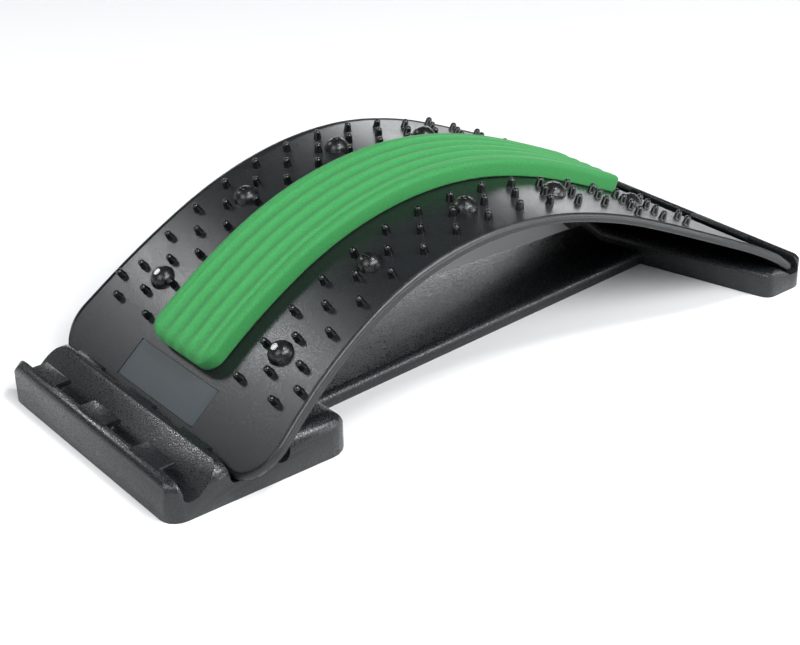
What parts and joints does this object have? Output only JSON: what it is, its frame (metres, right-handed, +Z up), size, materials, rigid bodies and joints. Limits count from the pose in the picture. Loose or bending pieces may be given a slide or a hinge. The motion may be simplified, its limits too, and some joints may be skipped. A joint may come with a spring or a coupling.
{
  "type": "back stretcher",
  "caption": "Arched back stretcher: a curved plate of pins and magnet domes with a foam strip, its front edge in one of the slots of a rack and its rear edge hooked into a socket.",
  "frame": {"origin": "on the ground under the middle of the base", "axes": "+X along the length, from the slotted rack to the rear socket; +Y across the width; +Z up"},
  "size_m": [0.3914, 0.204, 0.0989],
  "materials": {
    "base_plastic": "grained, satin",
    "plate_plastic": "fine grain, satin",
    "label_film": "smooth, satin, blank",
    "tape_film": "adhesive film, hidden",
    "foam": "closed-cell foam, matte, speckled",
    "dome_plastic": "polished black",
    "magnet_steel": "nickel plated"
  },
  "bodies": {
    "base": {"base_frame": "base_plastic"},
    "arch": {"arch_plate": "plate_plastic", "blank_label": "label_film", "pad_tape": "tape_film", "foam_pad": "foam", "dome_near_1": "dome_plastic", "dome_near_2": "dome_plastic", "dome_near_3": "dome_plastic", "dome_near_4": "dome_plastic", "dome_near_5": "dome_plastic", "dome_far_1": "dome_plastic", "dome_far_2": "dome_plastic", "dome_far_3": "dome_plastic", "dome_far_4": "dome_plastic", "dome_far_5": "dome_plastic", "magnet_near_1": "magnet_steel", "magnet_near_2": "magnet_steel", "magnet_near_3": "magnet_steel", "magnet_near_4": "magnet_steel", "magnet_near_5": "magnet_steel", "magnet_far_1": "magnet_steel", "magnet_far_2": "magnet_steel", "magnet_far_3": "magnet_steel", "magnet_far_4": "magnet_steel", "magnet_far_5": "magnet_steel"}
  },
  "joints": [
    {"name": "arch_lift", "type": "hinge", "parent": "base", "child": "arch", "pos_m": [0.18688, 0, 0.01225], "axis": [0, 1, 0], "range_deg": [0, 30]}
  ]
}
